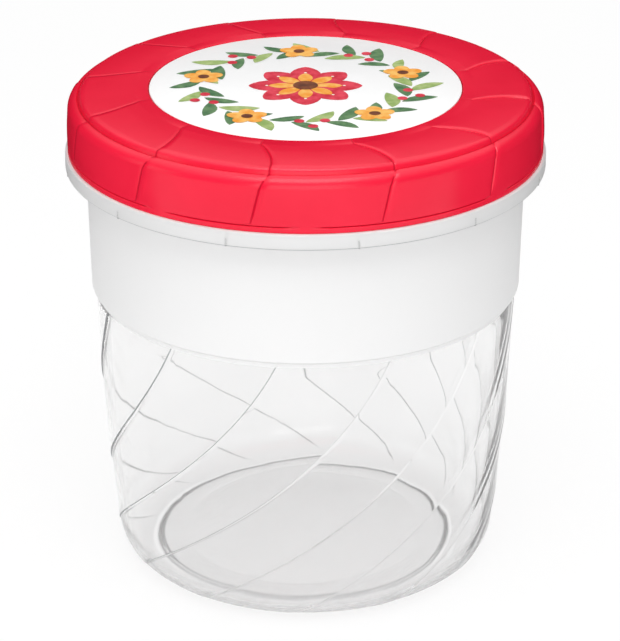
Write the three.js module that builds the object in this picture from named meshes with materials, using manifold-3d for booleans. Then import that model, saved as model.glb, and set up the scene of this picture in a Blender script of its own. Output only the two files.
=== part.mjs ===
// A round food storage jar: a clear tub with twisted ridges and a threaded neck, a screw lid with a
// swirled top, a soft ring that seals lid and rim, and a round label in the lid's recess.
// Lengths are millimetres, angles are degrees, +Z is up and -Y is the front.
// The origin is the middle of the foot ring, on the surface that the jar stands on.

import * as THREE from 'three';
import { mergeVertices } from 'three/addons/utils/BufferGeometryUtils.js';
import Module from 'manifold-3d';

const wasm = await Module();
wasm.setup();

// The tub's foot, corner and floor
const footRingRadius = 41.2;
const footRingWidth = 1.6;
const footRecess = 0.9;
const footChamfer = 1.1;
const cornerRadius = 9.1;
const cornerLean = 8;

// The tub's walls
const wallThickness = 1.5;
const stepLevel = 76;
const wallTaper = 1.25;
const wallBelly = 3.13;
const stepDepth = 1.2;
const stepDrop = 0.9;
const bandHeight = 35.8;
const bandTaper = 0.65;

// The tub's twisted ridges
const sectorCount = 12;
const ridgeHeight = 0.3;
const ridgeFade = 2.5;
const ridgeStart = -7.4;
const twistEven = 33.5;
const twistGrowth = 43;
const cornerTwist = 20;

// The collar and the neck
const collarLedge = 0.7;
const collarDrop = 4;
const collarLip = 1.2;
const collarEdge = 0.45;
const shelfThickness = 1.3;
const gussetThickness = 1.1;
const gussetClearance = 0.8;
const gussetStart = 12;
const neckHeight = 11.45;
const rimEdge = 0.35;

// The thread that tub and lid share
const threadStarts = 4;
const threadLead = 16;
const threadDepth = 2;
const threadTurn = 80;
const threadRise = 4;
const threadHeight = 1.7;
const threadCrestShare = 0.6;
const threadGap = 0.4;
const threadRadialGap = 0.35;

// The seal and the gaps that keep the pieces apart
const seatGap = 0.3;
const sealWidth = 2.2;
const sealThickness = 1.3;
const sealEdge = 0.3;

// The lid
const plateThickness = 1.65;
const skirtThickness = 2.15;
const skirtTaper = 0.3;
const skirtEdge = 0.25;
const shoulderDrop = 5.2;
const shoulderInset = 2.2;
const creaseDrop = 2.15;
const creaseWidth = 0.5;
const brimDrop = 0.7;
const brimWidth = 1.7;
const brimInset = 3.2;
const haunchHeight = 3;
const plugThickness = 1.3;
const plugDepth = 5;
const swirlHeight = 0.3;
const topSwirlStart = 16;
const topSwirlTurn = 6.2;
const skirtSwirlTurn = -3.6;

// The groove above the lid's lower edge, and the pads that break it
const grooveLevel = 1.25;
const grooveHeight = 0.4;
const grooveDepth = 0.45;
const padTurn = 7;
const padAngles = [0, 50, 95, 140, 185, 230, 275, 324];

// The label and its recess
const labelRadius = 39.8;
const labelThickness = 0.5;
const labelSink = 0.15;
const recessEdge = 0.25;

// How finely the round shapes are cut, how a ridge gathers at its step, and how far joined shapes reach
// into each other
const columnShares = [0, 0.05, 0.3, 0.55, 0.72, 0.88];
const ridgePower = 3;
const wallRows = 12;
const cornerRows = 4;
const ridgeSteps = 12;
const padSteps = 2;
const weld = 0.3;

// Levels and radii that follow from the sizes above
const lean = THREE.MathUtils.degToRad(cornerLean);
const wallFootLevel = cornerRadius * (1 - Math.sin(lean));
const wallFootRadius = footRingRadius + cornerRadius * Math.cos(lean);
const wallTopRadius = wallFootRadius + wallTaper + wallBelly;
const bandFootRadius = wallTopRadius + stepDepth;
const bandTopRadius = bandFootRadius + bandTaper;
const shelfFootLevel = stepLevel + bandHeight;
const shelfTopLevel = shelfFootLevel + shelfThickness;
const neckRadius = bandTopRadius;
const boreRadius = neckRadius - wallThickness;
const rimLevel = shelfTopLevel + neckHeight;
const lidLevel = shelfTopLevel + seatGap;
const threadCrestRadius = neckRadius + threadDepth;
const skirtBoreRadius = threadCrestRadius + threadRadialGap;
const skirtFootRadius = skirtBoreRadius + skirtThickness;
const shoulderRadius = skirtFootRadius - skirtTaper;
const creaseRadius = shoulderRadius - shoulderInset;
const collarRadius = skirtFootRadius + collarLedge;
const collarBoreRadius = collarRadius - collarLip;
const collarFootLevel = shelfTopLevel - collarDrop;
const sealLevel = rimLevel + seatGap;
const sealTopLevel = sealLevel + sealThickness;
const sealBoreRadius = neckRadius - sealWidth;
const roofLevel = sealTopLevel + seatGap;
const plugRadius = sealBoreRadius - seatGap;
const recessRadius = labelRadius + seatGap;
const recessLevel = roofLevel + plateThickness;
const labelFootLevel = recessLevel + seatGap;
const labelTopLevel = labelFootLevel + labelThickness;
const lidTopLevel = labelTopLevel + labelSink;
const shoulderLevel = lidTopLevel - shoulderDrop;
const creaseLevel = lidTopLevel - creaseDrop;
const brimLevel = lidTopLevel - brimDrop;
const threadPitch = threadLead / threadStarts;
const lidThreadHeight = threadPitch - threadHeight - 2 * threadGap;

// One point of a turned outline: its radius and level, how far its ring is turned, and which way and
// how much a ridge lifts it.
function ring(radius, level, turn = 0, liftOut = 0, liftUp = 0) {
  return { radius, level, turn, liftOut, liftUp };
}

// A closed body turned about Z. Its columns gather where each sector starts, so that a ridge can rise
// there at once and then fall away towards the next one, faster and faster. A body that steps down has
// its ridges the other way round.
function turnedBody(rings, firstAngle = 0, stepsDown = false) {
  const columns = columnShares.length;
  const steps = sectorCount * columns;
  const outline = rings.map((point) => new THREE.Vector2(point.radius, point.level));
  const geometry = new THREE.LatheGeometry(outline, steps);
  const position = geometry.getAttribute('position');
  for (let index = 0; index < position.count; index++) {
    const step = Math.floor(index / rings.length) % steps;
    const point = rings[index % rings.length];
    const share = columnShares[step % columns];
    const along = Math.max(0, share - columnShares[1]) / (1 - columnShares[1]);
    const climbed = share > 0 ? 1 - along ** ridgePower : 0;
    const rise = stepsDown ? 1 - climbed : climbed;
    const turns = (Math.floor(step / columns) + share) / sectorCount;
    const angle = THREE.MathUtils.degToRad(firstAngle + point.turn) + turns * 2 * Math.PI;
    const radius = point.radius + point.liftOut * rise;
    const level = point.level + point.liftUp * rise;
    position.setXYZ(index, radius * Math.sin(angle), -radius * Math.cos(angle), level);
  }
  return geometry;
}

// A bar that follows the thread's helix or, without a lead, a level arc. Its root and crest each have a
// radius and a height, and its ends run out to the root.
function bentBar({ start, turn, lead, level, root, crest, rootHeight, crestHeight, steps, tail = 0 }) {
  const geometry = new THREE.BoxGeometry(1, 1, 1, steps, 1, 1);
  const position = geometry.getAttribute('position');
  for (let index = 0; index < position.count; index++) {
    const along = position.getX(index) + 0.5;
    const atCrest = position.getY(index) > 0;
    const side = position.getZ(index);
    const angle = THREE.MathUtils.degToRad(start + turn * along);
    const nearEnd = Math.min(along, 1 - along);
    const rise = tail > 0 ? Math.min(1, nearEnd / tail) : 1;
    const radius = atCrest ? THREE.MathUtils.lerp(root, crest, Math.max(rise, tail)) : root;
    const height = atCrest ? crestHeight : rootHeight;
    const climb = (lead * turn * along) / 360;
    position.setXYZ(
      index,
      radius * Math.sin(angle),
      -radius * Math.cos(angle),
      level + climb + side * height,
    );
  }
  if (crest > root) {
    turnInsideOut(geometry);
  }
  return geometry;
}

function turnInsideOut(geometry) {
  const order = geometry.getIndex();
  for (let corner = 0; corner < order.count; corner += 3) {
    const first = order.getX(corner);
    order.setX(corner, order.getX(corner + 1));
    order.setX(corner + 1, first);
  }
}

// A closed mesh as a solid: shared vertices merged, and the flat triangles at the poles dropped.
function solidOf(geometry) {
  geometry.deleteAttribute('normal');
  geometry.deleteAttribute('uv');
  const merged = mergeVertices(geometry);
  const order = merged.getIndex();
  const kept = [];
  for (let corner = 0; corner < order.count; corner += 3) {
    const [a, b, c] = [order.getX(corner), order.getX(corner + 1), order.getX(corner + 2)];
    if (a !== b && b !== c && c !== a) {
      kept.push(a, b, c);
    }
  }
  return new wasm.Manifold(
    new wasm.Mesh({
      numProp: 3,
      vertProperties: new Float32Array(merged.getAttribute('position').array),
      triVerts: new Uint32Array(kept),
    }),
  );
}

function geometryOf(solid) {
  const mesh = solid.getMesh();
  const geometry = new THREE.BufferGeometry();
  geometry.setAttribute('position', new THREE.BufferAttribute(mesh.vertProperties, 3));
  geometry.setIndex(new THREE.BufferAttribute(mesh.triVerts, 1));
  geometry.computeVertexNormals();
  return geometry;
}

function joined(body, additions) {
  return additions.reduce((sum, geometry) => sum.add(solidOf(geometry)), solidOf(body));
}

// The lower wall at a share of its height, counted down from the step: wider at the top, drawn in
// faster and faster towards the foot.
function wallRadiusAt(share) {
  return wallTopRadius - wallTaper * share - wallBelly * share * share;
}

// The share of the height at which the ridges have made a given share of their turn
function shareAtTurn(turnShare) {
  const turned = turnShare * (twistEven + twistGrowth);
  return (Math.sqrt(twistEven ** 2 + 4 * twistGrowth * turned) - twistEven) / (2 * twistGrowth);
}

// The outside of the clear lower wall, from its foot up to the step
function lowerWallRings() {
  const rings = [];
  const wallHeight = stepLevel - wallFootLevel;
  for (let row = wallRows; row >= 0; row--) {
    const turnShare = row / wallRows;
    const share = shareAtTurn(turnShare);
    const drop = share * wallHeight;
    const lift = ridgeHeight * Math.min(1, drop / ridgeFade);
    const turn = -turnShare * (twistEven + twistGrowth);
    rings.push(ring(wallRadiusAt(share), stepLevel - drop, turn, lift));
  }
  return rings;
}

// The rounded corner from the foot ring up to the wall, on which the ridges run out
function outerCornerRings() {
  const rings = [];
  for (let row = 0; row < cornerRows; row++) {
    const share = row / cornerRows;
    const angle = THREE.MathUtils.lerp(-Math.PI / 2, -lean, share);
    const radius = footRingRadius + cornerRadius * Math.cos(angle);
    const level = cornerRadius * (1 + Math.sin(angle));
    const turn = -(twistEven + twistGrowth) - cornerTwist * (1 - share);
    rings.push(ring(radius, level, turn, ridgeHeight * share));
  }
  return rings;
}

// The inside of the tub, from the rim down to the middle of the floor
function tubInsideRings() {
  const rings = [
    ring(boreRadius + rimEdge, rimLevel),
    ring(boreRadius, rimLevel - rimEdge),
    ring(boreRadius, shelfFootLevel),
    ring(bandFootRadius - wallThickness, stepLevel + stepDrop),
    ring(wallTopRadius - wallThickness, stepLevel - stepDrop),
  ];
  const insideShares = [0.25, 0.5, 0.75, 1];
  for (const share of insideShares) {
    const level = THREE.MathUtils.lerp(stepLevel, wallFootLevel, share);
    rings.push(ring(wallRadiusAt(share) - wallThickness, level));
  }
  const insideRadius = cornerRadius - wallThickness;
  for (let row = 1; row <= cornerRows; row++) {
    const angle = THREE.MathUtils.lerp(-lean, -Math.PI / 2, row / cornerRows);
    rings.push(ring(
      footRingRadius + insideRadius * Math.cos(angle),
      cornerRadius + insideRadius * Math.sin(angle),
    ));
  }
  rings.push(ring(footRingRadius - footRingWidth, wallThickness));
  rings.push(ring(footRingRadius - footRingWidth - footChamfer, wallThickness + footRecess));
  rings.push(ring(0, wallThickness + footRecess));
  return rings;
}

function collarRings() {
  return [
    ring(bandTopRadius, shelfFootLevel),
    ring(collarBoreRadius, shelfFootLevel),
    ring(collarBoreRadius, collarFootLevel),
    ring(collarRadius - collarEdge, collarFootLevel),
    ring(collarRadius, collarFootLevel + collarEdge),
    ring(collarRadius, shelfTopLevel - collarEdge),
    ring(collarRadius - collarEdge, shelfTopLevel),
  ];
}

// The short radial webs that hold the collar's lip to the wall, under the shelf
function collarGussets() {
  const reach = collarBoreRadius - bandTopRadius + 2 * weld;
  const height = shelfFootLevel - collarFootLevel - gussetClearance;
  const gussets = [];
  for (let sector = 0; sector < sectorCount; sector++) {
    const gusset = new THREE.BoxGeometry(gussetThickness, reach, height + weld);
    const middle = shelfFootLevel + weld - (height + weld) / 2;
    gusset.translate(0, -(bandTopRadius - weld + reach / 2), middle);
    gusset.rotateZ(THREE.MathUtils.degToRad(gussetStart + (360 / sectorCount) * sector));
    gussets.push(gusset);
  }
  return gussets;
}

function threadBars(level, root, crest, height) {
  const bars = [];
  for (let start = 0; start < threadStarts; start++) {
    bars.push(bentBar({
      start: (360 / threadStarts) * start,
      turn: threadTurn,
      lead: threadLead,
      level,
      root,
      crest,
      rootHeight: height,
      crestHeight: height * threadCrestShare,
      steps: ridgeSteps,
      tail: 1 / ridgeSteps,
    }));
  }
  return bars;
}

function jarBody() {
  const fullTurn = -(twistEven + twistGrowth + cornerTwist);
  const footRings = [
    ring(0, footRecess, fullTurn),
    ring(footRingRadius - footRingWidth - footChamfer, footRecess, fullTurn),
    ring(footRingRadius - footRingWidth, 0, fullTurn),
  ];
  const rings = [
    ...footRings,
    ...outerCornerRings(),
    ...lowerWallRings(),
    ring(bandFootRadius, stepLevel + stepDrop),
    ...collarRings(),
    ring(neckRadius, shelfTopLevel),
    ring(neckRadius, rimLevel - rimEdge),
    ring(neckRadius - rimEdge, rimLevel),
    ...tubInsideRings(),
  ];
  const thread = threadBars(
    shelfTopLevel + threadRise,
    neckRadius - weld,
    threadCrestRadius,
    threadHeight,
  );
  const body = turnedBody(rings, ridgeStart, true);
  return geometryOf(joined(body, [...collarGussets(), ...thread]));
}

// The lid's underside, from its middle out to the skirt's lower edge
function lidInsideRings() {
  const plugFootLevel = roofLevel - plugDepth;
  const channelRadius = neckRadius + seatGap;
  return [
    ring(0, roofLevel),
    ring(plugRadius - plugThickness, roofLevel),
    ring(plugRadius - plugThickness, plugFootLevel + sealEdge),
    ring(plugRadius - plugThickness + sealEdge, plugFootLevel),
    ring(plugRadius - sealEdge, plugFootLevel),
    ring(plugRadius, plugFootLevel + sealEdge),
    ring(plugRadius, roofLevel),
    ring(channelRadius, roofLevel),
    ring(channelRadius, sealLevel),
    ring(skirtBoreRadius, sealLevel - haunchHeight),
    ring(skirtBoreRadius, lidLevel + skirtEdge),
    ring(skirtBoreRadius + skirtEdge, lidLevel),
  ];
}

// The skirt from its lower edge up to the crease. The swirl steps lean back as they come down it.
function skirtRings() {
  const rings = [
    ring(skirtFootRadius - skirtEdge, lidLevel),
    ring(skirtFootRadius, lidLevel + skirtEdge),
    ring(skirtFootRadius, lidLevel + grooveLevel),
    ring(skirtFootRadius - grooveDepth, lidLevel + grooveLevel + grooveHeight / 4),
    ring(skirtFootRadius - grooveDepth, lidLevel + grooveLevel + grooveHeight),
  ];
  const skirtStart = lidLevel + grooveLevel + grooveHeight + grooveDepth;
  const skirtShares = [0, 0.5, 1];
  for (const share of skirtShares) {
    const level = THREE.MathUtils.lerp(skirtStart, shoulderLevel, share);
    const radius = THREE.MathUtils.lerp(skirtFootRadius, shoulderRadius, share) - swirlHeight / 2;
    const turn = topSwirlTurn + skirtSwirlTurn * (1 - share);
    rings.push(ring(radius, level, turn, swirlHeight));
  }
  const shoulderSteps = 4;
  for (let step = 1; step <= shoulderSteps; step++) {
    const angle = (step / shoulderSteps) * (Math.PI / 2);
    const radius = creaseRadius + shoulderInset * Math.cos(angle) - swirlHeight / 2;
    const level = THREE.MathUtils.lerp(shoulderLevel, creaseLevel, Math.sin(angle));
    const lift = swirlHeight * Math.cos(angle);
    rings.push(ring(radius, level, topSwirlTurn, lift, swirlHeight * Math.sin(angle) / 2));
  }
  return rings;
}

// The sloping top ring from the crease in to the recess. The swirl steps fade at its inner edge.
function topRings() {
  const rings = [
    ring(creaseRadius - creaseWidth, brimLevel - creaseWidth, topSwirlTurn, 0, swirlHeight / 2),
  ];
  const brimRadius = creaseRadius - brimWidth;
  const topInnerRadius = recessRadius + brimInset;
  const topShares = [0, 0.33, 0.67, 1];
  for (const share of topShares) {
    const radius = THREE.MathUtils.lerp(brimRadius, topInnerRadius, share);
    const bow = Math.sin((share * Math.PI) / 2);
    const level = THREE.MathUtils.lerp(brimLevel, lidTopLevel - recessEdge / 2, bow);
    const turn = topSwirlTurn * (1 - share * share);
    rings.push(ring(radius, level, turn, 0, swirlHeight * Math.min(1, 2 - 1.5 * share)));
  }
  rings.push(ring(recessRadius + recessEdge, lidTopLevel));
  rings.push(ring(recessRadius, lidTopLevel - recessEdge));
  rings.push(ring(recessRadius, recessLevel));
  rings.push(ring(0, recessLevel));
  return rings;
}

// Pads that fill the groove in short stretches
function groovePads() {
  return padAngles.map((angle) => bentBar({
    start: angle - padTurn / 2,
    turn: padTurn,
    lead: 0,
    level: lidLevel + grooveLevel + grooveHeight / 2,
    root: skirtFootRadius - grooveDepth - weld,
    crest: skirtFootRadius - skirtEdge / 2,
    rootHeight: grooveHeight + grooveDepth,
    crestHeight: grooveHeight + grooveDepth,
    steps: padSteps,
  }));
}

function screwLid() {
  const rings = [...lidInsideRings(), ...skirtRings(), ...topRings()];
  const thread = threadBars(
    shelfTopLevel + threadRise - threadPitch / 2,
    skirtBoreRadius + weld,
    neckRadius + threadRadialGap,
    lidThreadHeight,
  );
  return geometryOf(joined(turnedBody(rings, topSwirlStart), [...groovePads(), ...thread]));
}

function sealingRing() {
  return geometryOf(solidOf(turnedBody([
    ring(sealBoreRadius + sealEdge, sealLevel),
    ring(neckRadius - sealEdge, sealLevel),
    ring(neckRadius, sealLevel + sealEdge),
    ring(neckRadius, sealTopLevel - sealEdge),
    ring(neckRadius - sealEdge, sealTopLevel),
    ring(sealBoreRadius + sealEdge, sealTopLevel),
    ring(sealBoreRadius, sealTopLevel - sealEdge),
    ring(sealBoreRadius, sealLevel + sealEdge),
    ring(sealBoreRadius + sealEdge, sealLevel),
  ])));
}

function labelDisc() {
  return geometryOf(solidOf(turnedBody([
    ring(0, labelFootLevel),
    ring(labelRadius, labelFootLevel),
    ring(labelRadius, labelTopLevel),
    ring(0, labelTopLevel),
  ])));
}

function namedMesh(name, geometry, material) {
  const mesh = new THREE.Mesh(geometry, new THREE.MeshStandardMaterial(material));
  mesh.name = name;
  return mesh;
}

const jar = new THREE.Group();
jar.add(
  namedMesh('jar_body', jarBody(), {
    color: 0xeef0f1, roughness: 0.25, metalness: 0, transparent: true, opacity: 0.4,
  }),
  namedMesh('sealing_ring', sealingRing(), { color: 0xe6e6e2, roughness: 0.8, metalness: 0 }),
  namedMesh('screw_lid', screwLid(), { color: 0xf5304f, roughness: 0.4, metalness: 0 }),
  namedMesh('label_disc', labelDisc(), { color: 0xfbfbfa, roughness: 0.45, metalness: 0 }),
);

export default jar;
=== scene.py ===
import math
import random

import bmesh
import bpy
from mathutils import Matrix, Vector


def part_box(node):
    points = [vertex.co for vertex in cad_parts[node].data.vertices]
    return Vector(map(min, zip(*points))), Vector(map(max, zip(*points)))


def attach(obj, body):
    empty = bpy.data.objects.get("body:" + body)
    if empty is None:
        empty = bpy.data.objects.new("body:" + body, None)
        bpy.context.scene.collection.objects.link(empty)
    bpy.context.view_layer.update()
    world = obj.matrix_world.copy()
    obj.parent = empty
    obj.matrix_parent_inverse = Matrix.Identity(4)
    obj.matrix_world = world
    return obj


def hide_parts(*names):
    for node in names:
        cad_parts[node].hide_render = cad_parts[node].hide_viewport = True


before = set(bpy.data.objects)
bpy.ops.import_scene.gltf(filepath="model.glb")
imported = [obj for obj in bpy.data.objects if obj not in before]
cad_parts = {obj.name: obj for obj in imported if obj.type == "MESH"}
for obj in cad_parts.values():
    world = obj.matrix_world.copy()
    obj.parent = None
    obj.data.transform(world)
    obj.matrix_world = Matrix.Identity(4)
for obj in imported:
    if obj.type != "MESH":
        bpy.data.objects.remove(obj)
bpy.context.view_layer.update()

# Lengths are metres, and angles are degrees until math.radians turns them.
MM = 0.001
FULL_TURN = 2 * math.pi

# Places that the frame gives
_, tub_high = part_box("jar_body")
label_low, label_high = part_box("label_disc")
seal_low, seal_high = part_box("sealing_ring")
RIM = tub_high.z
LABEL_FOOT = label_low.z
LABEL_TOP = label_high.z
SEAL_FOOT = seal_low.z
SEAL_TOP = seal_high.z

# The gap that keeps the pieces apart, and the small rounding of a moulded edge
SEAT_GAP = 0.3 * MM
LID_GAP = 0.06 * MM
FINE_EDGE = 0.25 * MM
SOFT_EDGE = 0.45 * MM

# The tub's foot, corner and walls
FOOT_RING = 41.2 * MM
FOOT_RING_WIDTH = 1.6 * MM
FOOT_RECESS = 0.9 * MM
FOOT_CHAMFER = 1.1 * MM
FLOOR_RISE = 9 * MM
CORNER = 9.1 * MM
CORNER_LEAN = math.radians(8)
WALL = 1.5 * MM
STEP_LEVEL = 76 * MM
STEP_DROP = 0.9 * MM
STEP_DEPTH = 1.2 * MM
WALL_TAPER = 1.25 * MM
WALL_BELLY = 3.13 * MM
BAND_HEIGHT = 35.8 * MM
BAND_TAPER = 0.65 * MM
FROST_OVERLAP = 1.2 * MM

# The twelve twisted ridges of the lower wall, which fade in over a share of the corner
SECTORS = 12
RIDGE_HEIGHT = 0.32 * MM
RIDGE_POWER = 4
RIDGE_FADE = 2.5 * MM
RIDGE_START = -7.4
TWIST_EVEN = 33.5
TWIST_GROWTH = 43
CORNER_TWIST = 20
CORNER_FADE_SHARE = 0.5

# The fine grey lines of painted shade: how far a ridge's step faces aside, how far the foot's edges
# lean, and how high the painted shadow line at the collar's lower edge is
STEP_FACE_TURN = 0.25
FOOT_EDGE_LEAN = 0.04
FOOT_CHAMFER_LEAN = 0.6
PAINTED_SHADOW_LINE = 0.3 * MM

# The collar and the neck
COLLAR_LEDGE = 0.7 * MM
COLLAR_DROP = 4 * MM
COLLAR_LIP = 1.2 * MM
SHELF = 1.3 * MM
GUSSET_THICKNESS = 1.1 * MM
GUSSET_CLEARANCE = 0.8 * MM
GUSSET_START = 12
SINK_LINE = 0.5 * MM
SINK_LINE_HEIGHT = 2.1 * MM
SINK_LINE_REACH = 0.06 * MM

# The thread
THREAD_STARTS = 4
THREAD_LEAD = 16 * MM
THREAD_DEPTH = 2 * MM
THREAD_TURN = 80
THREAD_TAIL = 7
THREAD_RISE = 4 * MM
THREAD_HEIGHT = 1.7 * MM
THREAD_CREST_SHARE = 0.6
THREAD_GAP = 0.4 * MM
THREAD_RADIAL_GAP = 0.35 * MM

# The lid
SKIRT = 2.15 * MM
SKIRT_TAPER = 0.3 * MM
SKIRT_BULGE = 0.12 * MM
SHOULDER_DROP = 5.2 * MM
SHOULDER_INSET = 2.2 * MM
CREASE_DROP = 2.15 * MM
CREASE_WIDTH = 0.9 * MM
CREASE_DEPTH = 0.6 * MM
CREASE_FILLET = 0.18 * MM
BRIM_DROP = 0.7 * MM
BRIM_WIDTH = 2 * MM
BRIM_EDGE = 1.1 * MM
BRIM_POWER = 2.4
BRIM_INSET = 3.2 * MM
HAUNCH = 3 * MM
PLUG = 1.3 * MM
PLUG_DEPTH = 5 * MM

# The lid's swirl, with a notch that is a share of its height. It rises over a share of the skirt, and
# fades towards the recess.
SWIRL_HEIGHT = 0.24 * MM
SWIRL_POWER = 1.5
SWIRL_NOTCH = 0.5
SWIRL_START = 15.7
SKIRT_SWIRL_SHARE = 0.25
SKIRT_FOOT_TURN = 2
SKIRT_TOP_TURN = 3.9
TOP_SWIRL_TURN = 5.9
TOP_SWIRL_FADE = 1.5

# The groove above the lid's lower edge, and the pads that break it
GROOVE_LEVEL = 1.25 * MM
GROOVE_HEIGHT = 0.5 * MM
GROOVE_DEPTH = 0.4 * MM
PAD_TURN = 7
PAD_ANGLES = (0, 50, 95, 140, 185, 230, 275, 324)

# The seal and the label
SEAL_WIDTH = 2.2 * MM
LIP_SHARES = (0.3, 0.4, 0.6, 0.7)
LABEL_RADIUS = 39.8 * MM
LABEL_SINK = 0.15 * MM
RECESS_EDGE = 0.25 * MM

# How finely the round shapes are cut
STEP_COLUMNS = 4
FALL_COLUMNS = 20
NOTCH_COLUMNS = 2
STEP_FOOT_COLUMNS = 1
STEP_SHARE = 0.011
NOTCH_SHARE = 0.012
WALL_ROWS = 72
INSIDE_ROWS = 18
CORNER_ROWS = 20
FILLET_ROWS = 4
THREAD_ROWS = 40
SKIRT_ROWS = 12
SHOULDER_ROWS = 12
TOP_ROWS = 20
GROOVE_ROWS = 6
SOFT_SEGMENTS = 2
SOFT_PROFILE = 0.5
SHARP_ANGLE = math.radians(50)
MERGE = 0.0001 * MM

# The label's print. A share is one of the leaf, blossom, berry or rosette that it is named after.
LABEL_SEGMENTS = 180
SHAPE_SEGMENTS = 20
INK = 0.003 * MM
ORDER_STEP = 0.005 * MM
LAYER_STEP = 0.03 * MM
PRINT_SEED = 7
WREATH_RADIUS = 27 * MM
WREATH_LEAVES = 40
LEAF_LENGTH = 9.5 * MM
LEAF_LENGTH_SHARES = (0.85, 1.15)
LEAF_WIDTH_SHARE = 0.36
LEAF_BEND_SHARE = 0.08
LEAF_POINT = 0.7
LEAF_LEAN = (34, 50)
LEAF_SHIFT = 2
LEAF_ORDERS = 5
WREATH_BLOSSOMS = 5
BLOSSOM_RADIUS = 5.2 * MM
BLOSSOM_START_SHARE = 0.3
BLOSSOM_PETALS = 5
PETAL_WIDTH_SHARE = 0.78
HEART_SHARE = 0.28
BERRY = 1.3 * MM
ROSETTE_PETALS = 8
ROSETTE_RADIUS = 14.5 * MM
ROSETTE_FOOT_SHARE = 0.15
ROSETTE_HEART_SHARE = 0.22
SPOT_SHARE = 0.3
SPOT_RING_SHARE = 0.68

# Each berry of a cluster: its angle from the middle and how far outside the wreath's ring, in shares
BERRY_PLACES = ((-7, -0.6), (0, 2.2), (7, -0.6))

# The rosette's petals: shares of its radius in length and width, and how far they are drawn to a point
OUTER_PETAL = (0.85, 0.56, 0.35)
INNER_PETAL = (0.5, 0.26, 0.5)

# The print's pieces, each with the layer that it lies in and its ink
PRINT_LAYERS = (
    ("print_dark_leaves", 0, "dark_leaf"),
    ("print_light_leaves", 1, "light_leaf"),
    ("print_berries", 2, "berry"),
    ("print_petals", 3, "petal"),
    ("print_rosette", 0, "berry"),
    ("print_rosette_inner", 1, "petal"),
    ("print_spots", 2, "pale"),
    ("print_hearts", 5, "heart"),
)

# The inks, each with the two tones that it drifts between
INK_TONES = {
    "dark_leaf": ("3E6B45", "6C8F63"),
    "light_leaf": ("8DAA5E", "B3C483"),
    "berry": ("C81E36", "E5475A"),
    "petal": ("F29A2E", "FBC368"),
    "heart": ("5A2E1E", "82492C"),
    "pale": ("FBE9D8", "FFF6EC"),
}

# The photograph's camera. The focal length and the jar's axis are pixels of the photograph.
PHOTO_WIDTH = 620
PHOTO_HEIGHT = 641
CAMERA_FOCAL_PIXELS = 2822
JAR_AXIS_PIXEL = 305.5
CAMERA_PITCH = 24.18
CAMERA_DISTANCE = 680 * MM
CAMERA_REACH = 10 * CAMERA_DISTANCE
CAMERA_HEIGHT = 255.6 * MM

# Where a drift's noise turns from its first colour to its last
DRIFT_SPAN = (0.35, 0.65)

# The clear wall's haze and tint, from the foot up
MILKY_LEVEL = 2 * MM
CLEAR_LEVEL = 13 * MM
MILKY_ROUGHNESS = 0.26
CLEAR_ROUGHNESS = 0.03
CLEAR_TINTS = ("FCFCFC", "FFFFFF")

# What all the plastics share: how strongly they bend light
PLASTIC_IOR = 1.49

# The stage: the room's light, the dome that gloss sees, the black cloth and the floor. Fewer surfaces
# than NO_SURFACE_YET are none, in the count of those that a ray has gone through.
ROOM_LIGHT = 0.68
DOME_FOOT = 0.39
DOME_TOP = 0.85
DOME_DIM = 0.0
DOME_BRIGHT = 1.8
FLAG_RADIUS = 110 * MM
FLAG_FOOT = 62 * MM
FLAG_TOP = 124 * MM
FLAG_SPREAD = math.radians(250)
FLAG_STEPS = 50
FLOOR_SIZE = 3
FLOOR_SHADE = 0.16
FLOOR_LIGHT = 0.9
NO_SURFACE_YET = 0.5

# The softboxes: name, place and size in metres, and watts
SOFTBOXES = (
    ("front_softbox", (0, -1.5, 0.12), 1.2, 8),
    ("top_softbox", (0, -0.33, 0.75), 0.5, 2.3),
    ("left_softbox", (-1.2, -0.35, 0.35), 0.5, 0.8),
)

# Sizes that follow from those above
WALL_FOOT_LEVEL = CORNER * (1 - math.sin(CORNER_LEAN))
WALL_FOOT_RADIUS = FOOT_RING + CORNER * math.cos(CORNER_LEAN)
WALL_TOP_RADIUS = WALL_FOOT_RADIUS + WALL_TAPER + WALL_BELLY
BAND_FOOT_RADIUS = WALL_TOP_RADIUS + STEP_DEPTH
NECK = BAND_FOOT_RADIUS + BAND_TAPER
BORE = NECK - WALL
SHELF_FOOT = STEP_LEVEL + BAND_HEIGHT
SHELF_TOP = SHELF_FOOT + SHELF
SKIRT_BORE = NECK + THREAD_DEPTH + THREAD_RADIAL_GAP
SKIRT_RADIUS = SKIRT_BORE + SKIRT
COLLAR_RADIUS = SKIRT_RADIUS + COLLAR_LEDGE
COLLAR_BORE = COLLAR_RADIUS - COLLAR_LIP
COLLAR_FOOT = SHELF_TOP - COLLAR_DROP
LID_FOOT = SHELF_TOP + LID_GAP
LID_TOP = LABEL_TOP + LABEL_SINK
ROOF = SEAL_TOP + SEAT_GAP
PLUG_RADIUS = NECK - SEAL_WIDTH - SEAT_GAP
RECESS_RADIUS = LABEL_RADIUS + SEAT_GAP
RECESS_LEVEL = LABEL_FOOT - SEAT_GAP
THREAD_PITCH = THREAD_LEAD / THREAD_STARTS
LID_THREAD_HEIGHT = THREAD_PITCH - THREAD_HEIGHT - 2 * THREAD_GAP


def mix(a, b, share):
    return a + (b - a) * share


def ring(radius, level, turn=0.0, out=0.0, up=0.0, thread=0.0, groove=0.0):
    """One point of an outline that is turned about Z: its radius and level, how far its ring is turned
    in degrees, how far a ridge lifts it out and up, and how deep a thread or groove is cut in it."""
    return (radius, level, turn, out, up, thread, groove)


# A ring's values after its radius and level, which its points keep while it is spun
RING_LAYERS = ("turn", "out", "up", "thread", "groove")


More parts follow.
